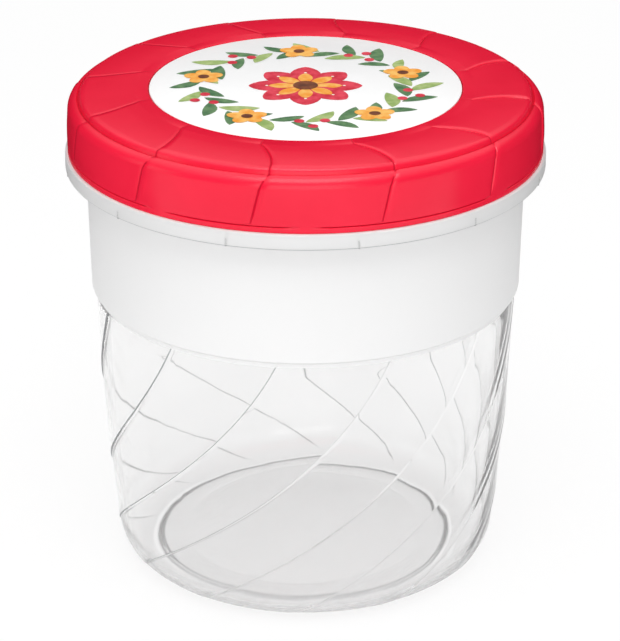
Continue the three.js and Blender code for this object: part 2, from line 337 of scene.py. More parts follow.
def rounded(corners):
    """Outline points through (radius, level, fillet) corners, each one rounded by its fillet."""
    points = []
    for place, (radius, level, fillet) in enumerate(corners):
        here = Vector((radius, level))
        if fillet == 0:
            points.append(here)
            continue
        before = (Vector(corners[place - 1][:2]) - here).normalized()
        after = (Vector(corners[(place + 1) % len(corners)][:2]) - here).normalized()
        half = before.angle(after) / 2
        reach = fillet / math.tan(half)
        centre = here + (before + after).normalized() * fillet / math.sin(half)
        first = here + before * reach - centre
        last = here + after * reach - centre
        for row in range(FILLET_ROWS + 1):
            points.append(centre + fillet * first.slerp(last, row / FILLET_ROWS))
    return points


def plain_rings(corners, turn=0.0):
    return [ring(point.x, point.y, turn) for point in rounded(corners)]


def smooth(share):
    return share * share * (3 - 2 * share)


def sector_share(column):
    """How far round its sector a column stands: first the step's columns, last the notch's."""
    if column <= STEP_COLUMNS:
        return STEP_SHARE * column / STEP_COLUMNS
    along = column - STEP_COLUMNS
    if along <= FALL_COLUMNS:
        return mix(STEP_SHARE, 1 - NOTCH_SHARE, along / FALL_COLUMNS)
    return mix(1 - NOTCH_SHARE, 1, (along - FALL_COLUMNS) / NOTCH_COLUMNS)


def ridge_rise(share):
    """The wall's ridge over a sector: it drops at once, then climbs to the next, faster and faster."""
    if share < STEP_SHARE:
        return 1 - smooth(share / STEP_SHARE)
    return ((share - STEP_SHARE) / (1 - STEP_SHARE)) ** RIDGE_POWER


def swirl_rise(share):
    """The lid's swirl over a sector: it steps up out of a fine notch, then falls to the next."""
    last = 1 - NOTCH_SHARE
    if share < STEP_SHARE:
        return mix(-SWIRL_NOTCH, 1, smooth(share / STEP_SHARE))
    if share > last:
        return -SWIRL_NOTCH * (share - last) / NOTCH_SHARE
    return 1 - ((share - STEP_SHARE) / (last - STEP_SHARE)) ** SWIRL_POWER


def thread_rise(angle, level, middle, height):
    """How far a thread ridge stands up at a place, as a share of its depth. The angle is in degrees."""
    along = angle % (360 / THREAD_STARTS)
    if along > THREAD_TURN:
        return 0
    off = abs(level - middle - THREAD_LEAD * along / 360)
    crest = THREAD_CREST_SHARE * height / 2
    flank = (height / 2 - off) / (height / 2 - crest)
    tail = min(along, THREAD_TURN - along) / THREAD_TAIL
    return max(0, min(1, flank, tail))


def pad_share(angle):
    """1 on a pad of the lid's groove and 0 elsewhere"""
    for pad in PAD_ANGLES:
        off = abs((angle - pad + 180) % 360 - 180)
        if off < PAD_TURN / 2:
            return 1
    return 0


def spin(bm, angle, steps, merge):
    """Spins all that the bmesh holds about Z."""
    bmesh.ops.spin(
        bm, geom=bm.verts[:] + bm.edges[:], cent=(0, 0, 0), axis=(0, 0, 1), dvec=(0, 0, 0), angle=angle,
        steps=steps, use_merge=merge, use_normal_flip=False, use_duplicate=False,
    )


def soften(bm, edges, offset):
    """Rounds the edges by a small offset."""
    bmesh.ops.bevel(
        bm, geom=edges, offset=offset, segments=SOFT_SEGMENTS, profile=SOFT_PROFILE, affect="EDGES",
        material=-1,
    )


def turned(name, rings, rise_at=ridge_rise, start=0.0, thread=None, closed=False):
    """A round body: its outline is spun about Z, and then each point takes its ring's turn and lift.
    rise_at gives the lift over a sector. thread is (level of its middle, height), for rings with one.
    The faces at the foot of a step are marked as its step_foot, where the lid paints shade."""
    bm = bmesh.new()
    layers = [bm.verts.layers.float.new(layer) for layer in RING_LAYERS]
    outline = []
    for radius, level, *values in rings:
        vert = bm.verts.new((0, -radius, level))
        for layer, value in zip(layers, values):
            vert[layer] = value
        outline.append(vert)
    for first, second in zip(outline, outline[1:]):
        bm.edges.new((first, second))
    if closed:
        bm.edges.new((outline[-1], outline[0]))
    columns = STEP_COLUMNS + FALL_COLUMNS + NOTCH_COLUMNS
    spin(bm, FULL_TURN, SECTORS * columns, True)
    step_foot = bm.faces.layers.int.new("step_foot")
    for face in bm.faces:
        middle = face.calc_center_median()
        column = math.floor(math.atan2(middle.x, -middle.y) / FULL_TURN * SECTORS * columns) % columns
        face[step_foot] = column < STEP_FOOT_COLUMNS or column >= STEP_COLUMNS + FALL_COLUMNS
    turn, out, up, cut, groove = layers
    for vert in bm.verts:
        radius = math.hypot(vert.co.x, vert.co.y)
        column = round(math.atan2(vert.co.x, -vert.co.y) / FULL_TURN * SECTORS * columns)
        share = sector_share(column % columns)
        angle = start + vert[turn] + (column // columns + share) * 360 / SECTORS
        rise = rise_at(share)
        radius += vert[out] * rise
        if vert[cut] != 0:
            radius += vert[cut] * thread_rise(angle, vert.co.z, *thread)
        if vert[groove] != 0:
            radius -= vert[groove] * (1 - pad_share(angle))
        level = vert.co.z + vert[up] * rise
        around = math.radians(angle)
        vert.co = (radius * math.sin(around), -radius * math.cos(around), level)
    bmesh.ops.remove_doubles(bm, verts=bm.verts[:], dist=MERGE)
    for layer in RING_LAYERS:
        bm.verts.layers.float.remove(bm.verts.layers.float[layer])
    return finished(name, bm)


def finished(name, bm):
    """The bmesh as an object at the origin, its faces pointing out, smooth but for its sharp edges."""
    bmesh.ops.recalc_face_normals(bm, faces=bm.faces[:])
    for face in bm.faces:
        face.smooth = True
    mesh = bpy.data.meshes.new(name)
    bm.to_mesh(mesh)
    bm.free()
    mesh.set_sharp_from_angle(angle=SHARP_ANGLE)
    piece = bpy.data.objects.new(name, mesh)
    bpy.context.scene.collection.objects.link(piece)
    return piece


def dress(piece, body, slot, *materials):
    """Gives a piece its materials and the body that it rides on. Its slot is not used."""
    for material in materials:
        piece.data.materials.append(material)
    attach(piece, body)
    return piece


# The tub

def wall_radius(share):
    """The lower wall's outer radius at a share of its height, counted down from the step"""
    return WALL_TOP_RADIUS - WALL_TAPER * share - WALL_BELLY * share * share


def wall_rings():
    """The outside of the foot, the corner and the twisted lower wall, from the axis up to the step"""
    full_turn = -(TWIST_EVEN + TWIST_GROWTH + CORNER_TWIST)
    rings = plain_rings([
        (0, FOOT_RECESS, 0),
        (FOOT_RING - FOOT_RING_WIDTH - FOOT_CHAMFER, FOOT_RECESS, SOFT_EDGE * 2),
        (FOOT_RING - FOOT_RING_WIDTH, 0, SOFT_EDGE * 2),
        (FOOT_RING - FOOT_RING_WIDTH / 2, 0, 0),
    ], full_turn)
    for row in range(CORNER_ROWS):
        share = row / CORNER_ROWS
        angle = mix(-math.pi / 2, -CORNER_LEAN, share)
        rings.append(ring(
            FOOT_RING + CORNER * math.cos(angle), CORNER * (1 + math.sin(angle)),
            mix(full_turn, full_turn + CORNER_TWIST, share),
            RIDGE_HEIGHT * min(1, share / CORNER_FADE_SHARE),
        ))
    for row in range(WALL_ROWS, -1, -1):
        share = row / WALL_ROWS
        drop = share * (STEP_LEVEL - WALL_FOOT_LEVEL)
        rings.append(ring(
            wall_radius(share), STEP_LEVEL - drop, -(TWIST_EVEN * share + TWIST_GROWTH * share * share),
            RIDGE_HEIGHT * min(1, drop / RIDGE_FADE),
        ))
    return rings


def collar_rings():
    """The frosted band and the collar: out under the shelf, round the lip and in to the neck"""
    return plain_rings([
        (WALL_TOP_RADIUS, STEP_LEVEL, 0),
        (BAND_FOOT_RADIUS, STEP_LEVEL + STEP_DROP, SOFT_EDGE),
        (NECK, SHELF_FOOT, SOFT_EDGE),
        (COLLAR_BORE, SHELF_FOOT, SOFT_EDGE),
        (COLLAR_BORE, COLLAR_FOOT, FINE_EDGE),
        (COLLAR_RADIUS, COLLAR_FOOT, SOFT_EDGE),
        (COLLAR_RADIUS, SHELF_TOP, SOFT_EDGE),
        (NECK, SHELF_TOP, SOFT_EDGE),
        (NECK, SHELF_TOP + THREAD_RISE / 2, 0),
    ])[1:]


def inside_rings():
    """The rim and the inside of the tub, down to the middle of the floor"""
    shares = [row / INSIDE_ROWS for row in range(1, INSIDE_ROWS + 1)]
    lower_wall = [
        (wall_radius(share) - WALL, mix(STEP_LEVEL, WALL_FOOT_LEVEL, share), 0) for share in shares
    ]
    rings = plain_rings([
        (NECK, RIM - THREAD_RISE / 2, 0),
        (NECK, RIM, SOFT_EDGE),
        (BORE, RIM, SOFT_EDGE),
        (BORE, SHELF_FOOT, SOFT_EDGE),
        (BAND_FOOT_RADIUS - WALL, STEP_LEVEL + STEP_DROP, SOFT_EDGE),
        (WALL_TOP_RADIUS - WALL, STEP_LEVEL - STEP_DROP, SOFT_EDGE),
        *lower_wall,
    ])
    for row in range(1, CORNER_ROWS):
        angle = mix(-CORNER_LEAN, -math.pi / 2, row / CORNER_ROWS)
        inside = CORNER - WALL
        rings.append(ring(FOOT_RING + inside * math.cos(angle), CORNER + inside * math.sin(angle)))
    rings += plain_rings([
        (FOOT_RING, WALL, 0),
        (FOOT_RING - FLOOR_RISE, WALL + FOOT_RECESS, SOFT_EDGE),
        (0, WALL + FOOT_RECESS, 0),
    ])
    return rings


def neck_rings():
    """The neck between its ends, fine enough for the thread"""
    first = SHELF_TOP + THREAD_RISE / 2
    last = RIM - THREAD_RISE / 2
    rings = []
    for row in range(1, THREAD_ROWS):
        rings.append(ring(NECK, mix(first, last, row / THREAD_ROWS), thread=THREAD_DEPTH))
    return rings


def tub_finish(face):
    """Which of the tub's finishes a face has: 0 clear, 1 frosted, 2 the collar's satin skin, 3 the fine
    grey line of painted shade on a step or an edge, and of painted shadow under the collar's lip"""
    out = Vector((face.center.x, face.center.y, 0))
    level = face.center.z
    if level > SHELF_TOP:
        return 0
    # The collar's lowest band takes a painted shadow line; the foot's chamfer and the ridges' step faces
    # take painted shade.
    if out.length > COLLAR_BORE - FINE_EDGE and level > COLLAR_FOOT - FINE_EDGE:
        return 3 if level < COLLAR_FOOT + PAINTED_SHADOW_LINE else 2
    if level > STEP_LEVEL - FROST_OVERLAP:
        return 1
    if out.length < FOOT_RING:
        return 3 if FOOT_EDGE_LEAN < out.dot(face.normal) / -out.length < FOOT_CHAMFER_LEAN else 0
    aside = out.normalized().cross(face.normal).z
    return 3 if abs(aside) > STEP_FACE_TURN else 0


def make_tub(*finishes):
    rings = wall_rings() + collar_rings() + neck_rings() + inside_rings()
    thread = (SHELF_TOP + THREAD_RISE, THREAD_HEIGHT)
    tub = turned("tub", rings, ridge_rise, RIDGE_START, thread)
    dress(tub, "tub", "clear_polypropylene", *finishes)
    for face in tub.data.polygons:
        face.material_index = tub_finish(face)
    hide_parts("jar_body")


def add_webs(bm, width, inner, outer, foot, top, edge):
    """Twelve radial webs between two radii and two levels, with softened edges"""
    size = Matrix.Diagonal((width, outer - inner, top - foot, 1))
    middle = Matrix.Translation((0, -(outer + inner) / 2, (top + foot) / 2))
    for sector in range(SECTORS):
        around = math.radians(GUSSET_START + 360 / SECTORS * sector)
        made = bmesh.ops.create_cube(bm, size=1, matrix=Matrix.Rotation(around, 4, "Z") @ middle @ size)
        edges = dict.fromkeys(line for vert in made["verts"] for line in vert.link_edges)
        soften(bm, list(edges), edge)


def make_gussets(clear):
    """The short radial webs behind the collar's lip, and the fine lines where they show in its face"""
    bm = bmesh.new()
    foot = COLLAR_FOOT + GUSSET_CLEARANCE
    add_webs(bm, GUSSET_THICKNESS, NECK, COLLAR_BORE, foot, SHELF_FOOT, FINE_EDGE / 2)
    line_foot = COLLAR_FOOT + SINK_LINE_REACH
    line_radius = COLLAR_RADIUS + SINK_LINE_REACH
    line_top = line_foot + SINK_LINE_HEIGHT
    add_webs(bm, SINK_LINE, COLLAR_BORE, line_radius, line_foot, line_top, SINK_LINE_REACH)
    dress(finished("collar_gussets", bm), "tub", "clear_polypropylene", clear)


# The lid

def lid_inside_rings():
    """The lid's underside, from the axis past the plug ring and down inside the skirt"""
    plug_foot = ROOF - PLUG_DEPTH
    channel = NECK + SEAT_GAP
    rings = plain_rings([
        (0, ROOF, 0),
        (PLUG_RADIUS - PLUG, ROOF, SOFT_EDGE),
        (PLUG_RADIUS - PLUG, plug_foot, SOFT_EDGE),
        (PLUG_RADIUS, plug_foot, SOFT_EDGE),
        (PLUG_RADIUS, ROOF, FINE_EDGE),
        (channel, ROOF, FINE_EDGE),
        (channel, SEAL_FOOT, SOFT_EDGE),
        (SKIRT_BORE, SEAL_FOOT - HAUNCH, SOFT_EDGE),
        (SKIRT_BORE, SEAL_FOOT - HAUNCH - SOFT_EDGE * 2, 0),
    ])
    top = SEAL_FOOT - HAUNCH - SOFT_EDGE * 2
    foot = LID_FOOT + SOFT_EDGE
    depth = -(SKIRT_BORE - NECK - THREAD_RADIAL_GAP)
    for row in range(1, THREAD_ROWS):
        rings.append(ring(SKIRT_BORE, mix(top, foot, row / THREAD_ROWS), thread=depth))
    return rings


def skirt_rings():
    """The lid's lower edge, the groove with its pads, the skirt and its rounded shoulder"""
    groove_top = LID_FOOT + GROOVE_LEVEL + GROOVE_HEIGHT
    rings = plain_rings([
        (SKIRT_BORE, LID_FOOT + SOFT_EDGE, 0),
        (SKIRT_BORE, LID_FOOT, FINE_EDGE),
        (SKIRT_RADIUS, LID_FOOT, FINE_EDGE),
        (SKIRT_RADIUS, LID_FOOT + GROOVE_LEVEL - FINE_EDGE, 0),
    ])
    for row in range(GROOVE_ROWS + 1):
        share = row / GROOVE_ROWS
        depth = GROOVE_DEPTH * math.sin(math.pi * share) ** 2
        level = LID_FOOT + GROOVE_LEVEL + GROOVE_HEIGHT * share
        rings.append(ring(SKIRT_RADIUS, level, groove=depth))
    skirt_foot = groove_top + GROOVE_DEPTH
    shoulder = LID_TOP - SHOULDER_DROP
    shoulder_radius = SKIRT_RADIUS - SKIRT_TAPER
    for row in range(SKIRT_ROWS + 1):
        share = row / SKIRT_ROWS
        bulge = SKIRT_BULGE * math.sin(math.pi * share)
        lift = SWIRL_HEIGHT * min(1, share / SKIRT_SWIRL_SHARE)
        rings.append(ring(
            mix(SKIRT_RADIUS, shoulder_radius, share) + bulge - lift / 2,
            mix(skirt_foot, shoulder, share),
            mix(SKIRT_FOOT_TURN, SKIRT_TOP_TURN, share), lift,
        ))
    crease = LID_TOP - CREASE_DROP
    for row in range(1, SHOULDER_ROWS + 1):
        share = row / SHOULDER_ROWS
        angle = math.pi / 2 * share
        rings.append(ring(
            shoulder_radius - SHOULDER_INSET * (1 - math.cos(angle)) - SWIRL_HEIGHT / 2,
            mix(shoulder, crease, math.sin(angle)), mix(SKIRT_TOP_TURN, TOP_SWIRL_TURN, share),
            SWIRL_HEIGHT * math.cos(angle), SWIRL_HEIGHT / 2 * math.sin(angle),
        ))
    return rings


def top_rings():
    """The sloping top ring, from the crease in to the recess for the label"""
    crease_radius = SKIRT_RADIUS - SKIRT_TAPER - SHOULDER_INSET - SWIRL_HEIGHT / 2
    crease = LID_TOP - CREASE_DROP
    brim_level = LID_TOP - BRIM_DROP
    brim = crease_radius - BRIM_WIDTH
    inner = RECESS_RADIUS + BRIM_INSET
    side = rounded([
        (crease_radius, crease, 0),
        (crease_radius - CREASE_WIDTH / 2, crease - CREASE_DEPTH, CREASE_FILLET),
        (crease_radius - CREASE_WIDTH, brim_level, BRIM_EDGE),
        (brim, brim_level, 0),
    ])[1:-1]
    rings = [ring(point.x, point.y, TOP_SWIRL_TURN, 0, SWIRL_HEIGHT / 2) for point in side]
    for row in range(TOP_ROWS + 1):
        share = row / TOP_ROWS
        bow = 1 - (1 - share) ** BRIM_POWER
        rings.append(ring(
            mix(brim, inner, share), mix(brim_level, LID_TOP - RECESS_EDGE / 2, bow),
            TOP_SWIRL_TURN * (1 - share * share), 0, SWIRL_HEIGHT * min(1, 2 - TOP_SWIRL_FADE * share),
        ))
    return rings + plain_rings([
        (inner - RECESS_EDGE, LID_TOP - RECESS_EDGE / 4, 0),
        (RECESS_RADIUS, LID_TOP, RECESS_EDGE / 2),
        (RECESS_RADIUS, RECESS_LEVEL, FINE_EDGE / 2),
        (0, RECESS_LEVEL, 0),
    ])


def lid_finish(face, step_foot):
    """Which of the lid's finishes a face has: 0 satin, 1 the darker red of painted shade deep in a swirl
    line, in the crease or in the groove"""
    radius = math.hypot(face.center.x, face.center.y)
    level = face.center.z
    on_skirt = radius > SKIRT_BORE + SKIRT / 2
    on_top = level > ROOF + FINE_EDGE or (level > SEAL_FOOT and radius > NECK + 2 * SEAT_GAP)
    groove_foot = LID_FOOT + GROOVE_LEVEL
    # Painted shade: the groove's sunk faces, the crease's trench and the faces at the foot of a swirl
    # step take the darker red.
    if on_skirt and groove_foot < level < groove_foot + GROOVE_HEIGHT:
        return int(radius < SKIRT_RADIUS - FINE_EDGE)
    if on_top and level < LID_TOP - CREASE_DROP - FINE_EDGE / 2 and not on_skirt:
        return int(radius < SKIRT_RADIUS - SKIRT_TAPER - SHOULDER_INSET)
    on_outside = on_skirt or on_top
    return int(step_foot and on_outside and level > groove_foot + GROOVE_HEIGHT)


def make_lid(*finishes):
    rings = lid_inside_rings() + skirt_rings() + top_rings()
    thread = (SHELF_TOP + THREAD_RISE - THREAD_PITCH / 2, LID_THREAD_HEIGHT)
    lid = turned("lid", rings, swirl_rise, SWIRL_START, thread)
    dress(lid, "lid", "red_polypropylene", *finishes)
    seams = lid.data.attributes["step_foot"].data
    for face, step_foot in zip(lid.data.polygons, seams):
        face.material_index = lid_finish(face, step_foot.value)
    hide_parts("screw_lid")


def make_seal(soft):
    """The soft ring: a flat strip with two low lips on its underside"""
    inner = NECK - SEAL_WIDTH
    lip = SOFT_EDGE / 2
    corners = [(inner, SEAL_FOOT, SOFT_EDGE)]
    for share, rise in zip(LIP_SHARES, (0, lip, lip, 0)):
        corners.append((mix(inner, NECK, share), SEAL_FOOT + rise, FINE_EDGE / 4))
    corners += [(NECK, SEAL_FOOT, SOFT_EDGE), (NECK, SEAL_TOP, SOFT_EDGE), (inner, SEAL_TOP, SOFT_EDGE)]
    seal = turned("seal", plain_rings(corners), closed=True)
    dress(seal, "seal", "soft_seal", soft)
    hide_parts("sealing_ring")


# The label and its print

def make_label(film):
    """The round film in the lid's recess"""
    bm = bmesh.new()
    bmesh.ops.create_cone(
        bm, cap_ends=True, segments=LABEL_SEGMENTS, radius1=LABEL_RADIUS, radius2=LABEL_RADIUS,
        depth=LABEL_TOP - LABEL_FOOT, matrix=Matrix.Translation((0, 0, (LABEL_TOP + LABEL_FOOT) / 2)),
    )
    rims = [edge for edge in bm.edges if abs(edge.verts[0].co.z - edge.verts[1].co.z) < MERGE]
    soften(bm, rims, FINE_EDGE / 3)
    label = dress(finished("label_film", bm), "lid", "printed_film", film)
    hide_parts("label_disc")


def flat_shape(bm, at, around, length, width, point=0.0, bend=0.0, order=0):
    """A flat printed shape, from its foot outwards: round, or with its ends drawn to a point.
    at is (x, y) of the foot, around is the heading in degrees, and order keeps it clear of its
    neighbours."""
    made = bmesh.ops.create_circle(bm, cap_ends=True, segments=SHAPE_SEGMENTS, radius=1)
    for vert in made["verts"]:
        along, across = vert.co.x, vert.co.y
        vert.co.x = (along + 1) * length / 2
        vert.co.y = across * abs(across) ** point * width / 2 + bend * (1 - along * along)
    level = LABEL_TOP + order * ORDER_STEP
    place = Matrix.Translation((at[0], at[1], level)) @ Matrix.Rotation(math.radians(around), 4, "Z")
    bmesh.ops.transform(bm, matrix=place, verts=made["verts"])


def on_ring(radius, around):
    """(x, y) on a ring about the label's middle. 0 degrees is to the right."""
    return (radius * math.cos(math.radians(around)), radius * math.sin(math.radians(around)))


def print_layer(name, bm, layer, ink):
    """Flat shapes as one printed layer: given the ink's thickness and set on the film"""
    faces = bm.faces[:]
    bmesh.ops.recalc_face_normals(bm, faces=faces)
    bmesh.ops.translate(bm, verts=bm.verts[:], vec=(0, 0, LAYER_STEP * (layer + 1)))
    grown = bmesh.ops.extrude_face_region(bm, geom=faces, use_keep_orig=True)
    raised = [item for item in grown["geom"] if isinstance(item, bmesh.types.BMVert)]
    bmesh.ops.translate(bm, verts=raised, vec=(0, 0, INK))
    dress(finished(name, bm), "lid", "printed_film", ink)


def add_dot(bm, at, radius):
    """A round flat shape with its middle at (x, y)"""
    flat_shape(bm, (at[0] - radius, at[1]), 0, radius * 2, radius * 2)


def draw_leaves(dark, light):
    """The wreath's leaves, which lean out and in by turns"""
    dice = random.Random(PRINT_SEED)
    for leaf in range(WREATH_LEAVES):
        around = 360 / WREATH_LEAVES * leaf + dice.uniform(-LEAF_SHIFT, LEAF_SHIFT)
        side = 1 if leaf % 2 else -1
        heading = around + 90 - side * dice.uniform(*LEAF_LEAN)
        length = LEAF_LENGTH * dice.uniform(*LEAF_LENGTH_SHARES)
        flat_shape(
            dark if leaf % 3 else light, on_ring(WREATH_RADIUS, around), heading, length,
            length * LEAF_WIDTH_SHARE, LEAF_POINT, side * length * LEAF_BEND_SHARE, leaf % LEAF_ORDERS,
        )


def draw_blossoms(petals, hearts, berries):
    """The wreath's blossoms, and between each two of them a cluster of berries"""
    for blossom in range(WREATH_BLOSSOMS):
        around = 360 / WREATH_BLOSSOMS * (blossom + BLOSSOM_START_SHARE)
        centre = on_ring(WREATH_RADIUS, around)
        for petal in range(BLOSSOM_PETALS):
            flat_shape(
                petals, centre, around + 360 / BLOSSOM_PETALS * petal, BLOSSOM_RADIUS,
                BLOSSOM_RADIUS * PETAL_WIDTH_SHARE, order=petal,
            )
        add_dot(hearts, centre, BLOSSOM_RADIUS * HEART_SHARE)
        between = around + 180 / WREATH_BLOSSOMS
        for off, out_share in BERRY_PLACES:
            add_dot(berries, on_ring(WREATH_RADIUS + BERRY * out_share, between + off), BERRY)


def draw_rosette(outer, inner, spots, hearts):
    """The large rosette in the wreath's middle: two rounds of petals, a spot on each, and a heart"""
    for petal in range(ROSETTE_PETALS):
        around = 360 / ROSETTE_PETALS * petal
        foot = on_ring(ROSETTE_RADIUS * ROSETTE_FOOT_SHARE, around)
        for bm, (length_share, width_share, point) in ((outer, OUTER_PETAL), (inner, INNER_PETAL)):
            flat_shape(
                bm, foot, around, ROSETTE_RADIUS * length_share, ROSETTE_RADIUS * width_share, point,
                order=petal,
            )
        add_dot(spots, on_ring(ROSETTE_RADIUS * SPOT_RING_SHARE, around), BERRY * SPOT_SHARE)
    add_dot(hearts, (0, 0), ROSETTE_RADIUS * ROSETTE_HEART_SHARE)


def make_print(inks):
    """A folk wreath: leaves, blossoms and berries on a ring, round a large rosette"""
    flat = {name: bmesh.new() for name, _, _ in PRINT_LAYERS}
    draw_leaves(flat["print_dark_leaves"], flat["print_light_leaves"])
    draw_blossoms(flat["print_petals"], flat["print_hearts"], flat["print_berries"])
    draw_rosette(
        flat["print_rosette"], flat["print_rosette_inner"], flat["print_spots"], flat["print_hearts"],
    )
    for name, layer, ink in PRINT_LAYERS:
        print_layer(name, flat[name], layer, inks[ink])


# Materials

def colour(code):
    """An sRGB hex colour as linear red, green, blue and alpha"""
    parts = [int(code[place:place + 2], 16) / 255 for place in (0, 2, 4)]
    return [part / 12.92 if part <= 0.04045 else ((part + 0.055) / 1.055) ** 2.4 for part in parts] + [1]


def add_node(tree, kind, settings=(), links=()):
    """Adds a node, sets its sockets or properties, and links its inputs. A socket goes by its name or
    by its place."""
    node = tree.nodes.new(kind)
    for name, value in dict(settings).items():
        if isinstance(name, int) or name in node.inputs:
            node.inputs[name].default_value = value
        else:
            setattr(node, name, value)
    for name, source in dict(links).items():
        tree.links.new(source, node.inputs[name])
    return node


def new_material(name, settings):
    """A material with a Principled shader, and the Object coordinates that its patterns read"""
    material = bpy.data.materials.new(name)
    material.use_nodes = True
    tree = material.node_tree
    shader = tree.nodes["Principled BSDF"]
    for socket, value in settings.items():
        shader.inputs[socket].default_value = value
    place = add_node(tree, "ShaderNodeTexCoord").outputs["Object"]
    return material, tree, shader, place


def grain(tree, place, size, depth, strength=1.0, detail=3.0):
    """A bumpy skin whose lumps are about size across, in metres. Gives the normals."""
    settings = {"Scale": 1 / size, "Detail": detail}
    lumps = add_node(tree, "ShaderNodeTexNoise", settings, {"Vector": place})
    settings = {"Strength": strength, "Distance": depth}
    return add_node(tree, "ShaderNodeBump", settings, {"Height": lumps.outputs["Fac"]}).outputs["Normal"]


def drift(tree, place, size, first, last, detail=3.0):
    """A slow drift from one colour to another in patches about size across, in metres"""
    settings = {"Scale": 1 / size, "Detail": detail}
    patches = add_node(tree, "ShaderNodeTexNoise", settings, {"Vector": place})
    ramp = add_node(tree, "ShaderNodeValToRGB", {}, {"Fac": patches.outputs["Fac"]})
    for stop, position, code in zip(ramp.color_ramp.elements, DRIFT_SPAN, (first, last)):
        stop.position = position
        stop.color = colour(code)
    return ramp.outputs["Color"]


def clear_polypropylene():
    """Polypropylene against a polished mould: clear with a slight haze, and a long soft waviness where
    the melt flowed and shrank. It is milkier at the thick foot, where it cooled last."""
    material, tree, shader, place = new_material("clear_polypropylene", {
        "IOR": PLASTIC_IOR, "Transmission Weight": 0.95,
    })
    level = add_node(tree, "ShaderNodeSeparateXYZ", {}, {"Vector": place}).outputs["Z"]
    levels = {"From Min": MILKY_LEVEL, "From Max": CLEAR_LEVEL}
    roughnesses = {"To Min": MILKY_ROUGHNESS, "To Max": CLEAR_ROUGHNESS}
    haze = add_node(tree, "ShaderNodeMapRange", levels | roughnesses, {"Value": level})
    tree.links.new(haze.outputs["Result"], shader.inputs["Roughness"])
    share = add_node(tree, "ShaderNodeMapRange", levels, {"Value": level})
    tint = add_node(tree, "ShaderNodeValToRGB", {}, {"Fac": share.outputs["Result"]})
    for stop, code in zip(tint.color_ramp.elements, CLEAR_TINTS):
        stop.color = colour(code)
    tree.links.new(tint.outputs["Color"], shader.inputs["Base Color"])
    tree.links.new(grain(tree, place, 9 * MM, 0.05 * MM, detail=1), shader.inputs["Normal"])
    return material


def satin_polypropylene():
    """Polypropylene on the collar: a satin skin that is less milky than the band, so that the dark space
    behind the lip greys it"""
    material, tree, shader, place = new_material("satin_polypropylene", {
        "Base Color": colour("F2F2F2"), "Roughness": 0.4, "IOR": PLASTIC_IOR,
        "Transmission Weight": 0.25, "Specular IOR Level": 0.4,
    })
    tree.links.new(grain(tree, place, 0.35 * MM, 0.01 * MM, strength=0.5), shader.inputs["Normal"])
    return material


def painted_shade_line():
    """The same polypropylene, greyed as painted shade on narrow steps and edges: a fine grey line that
    stands for the shade of the ridges' steps and the foot's chamfer, and for the shadow under the
    collar's lip"""
    material, tree, shader, place = new_material("painted_shade_step_polypropylene", {
        "Base Color": colour("B2B5B7"), "Roughness": 0.4, "IOR": PLASTIC_IOR,
        "Transmission Weight": 0.45,
    })
    tree.links.new(grain(tree, place, 0.3 * MM, 0.01 * MM, strength=0.4), shader.inputs["Normal"])
    return material


def frosted_polypropylene():
    """Polypropylene against a spark-eroded mould: milky and matte, with a very fine grain"""
    material, tree, shader, place = new_material("frosted_polypropylene", {
        "Base Color": colour("FAFAFA"), "Roughness": 0.55, "IOR": PLASTIC_IOR,
        "Transmission Weight": 0.12, "Specular IOR Level": 0.4,
    })
    tree.links.new(grain(tree, place, 0.35 * MM, 0.02 * MM, strength=0.6), shader.inputs["Normal"])
    return material


def red_polypropylene():
    """Dyed polypropylene with a satin moulded skin: a soft sheen and a trace of flow marks"""
    material, tree, shader, place = new_material("red_polypropylene", {
        "Roughness": 0.27, "IOR": PLASTIC_IOR, "Specular IOR Level": 0.4,
    })
    tree.links.new(drift(tree, place, 16 * MM, "EB1136", "F0153A"), shader.inputs["Base Color"])
    tree.links.new(grain(tree, place, 0.5 * MM, 0.012 * MM, strength=0.4), shader.inputs["Normal"])
    return material


def painted_shade_red():
    """The same red, darker and duller deep in the lid's lines: painted shade where light hardly reaches
    """
    material, tree, shader, place = new_material("painted_shade_red_polypropylene", {
        "Base Color": colour("C80D2C"), "Roughness": 0.7, "IOR": PLASTIC_IOR, "Specular IOR Level": 0.1,
    })
    tree.links.new(grain(tree, place, 0.3 * MM, 0.02 * MM, strength=0.5), shader.inputs["Normal"])
    return material


def soft_elastomer():
    """Soft thermoplastic elastomer: off-white and matte with a rubbery grain"""
    material, tree, shader, place = new_material("soft_elastomer", {
        "Roughness": 0.6, "Subsurface Weight": 0.15, "Subsurface Scale": 1 * MM,
    })
    tree.links.new(drift(tree, place, 4 * MM, "E4E4DF", "ECECE8"), shader.inputs["Base Color"])
    tree.links.new(grain(tree, place, 0.3 * MM, 0.02 * MM, strength=0.5), shader.inputs["Normal"])
    return material


def white_film():
    """White printed polypropylene film: smooth, half glossy, with the faint unevenness of a label"""
    material, tree, shader, place = new_material("white_film", {
        "Roughness": 0.4, "IOR": PLASTIC_IOR, "Specular IOR Level": 0.3,
    })
    tree.links.new(drift(tree, place, 12 * MM, "FBFBFB", "FEFEFE"), shader.inputs["Base Color"])
    wrinkles = grain(tree, place, 14 * MM, 0.03 * MM, strength=0.5, detail=1)
    tree.links.new(wrinkles, shader.inputs["Normal"])
    return material


def new_ink(name, first, last):
    """Offset ink laid on like a wash: its strength drifts between two tones"""
    material, tree, shader, place = new_material(name, {"Roughness": 0.45, "Specular IOR Level": 0.3})
    tree.links.new(drift(tree, place, 2.2 * MM, first, last, detail=4), shader.inputs["Base Color"])
    return material


def outer_gloss(tree):
    """1 for a ray that a surface has mirrored before it went through any clear wall, otherwise 0"""
    path = add_node(tree, "ShaderNodeLightPath").outputs
    less = {"operation": "LESS_THAN", 1: NO_SURFACE_YET}
    outside = add_node(tree, "ShaderNodeMath", less, {0: path["Transmission Depth"]})
    mirrored = add_node(tree, "ShaderNodeMath", {"operation": "MULTIPLY"}, {
        0: path["Is Glossy Ray"], 1: outside.outputs[0],
    })
    return mirrored.outputs[0]


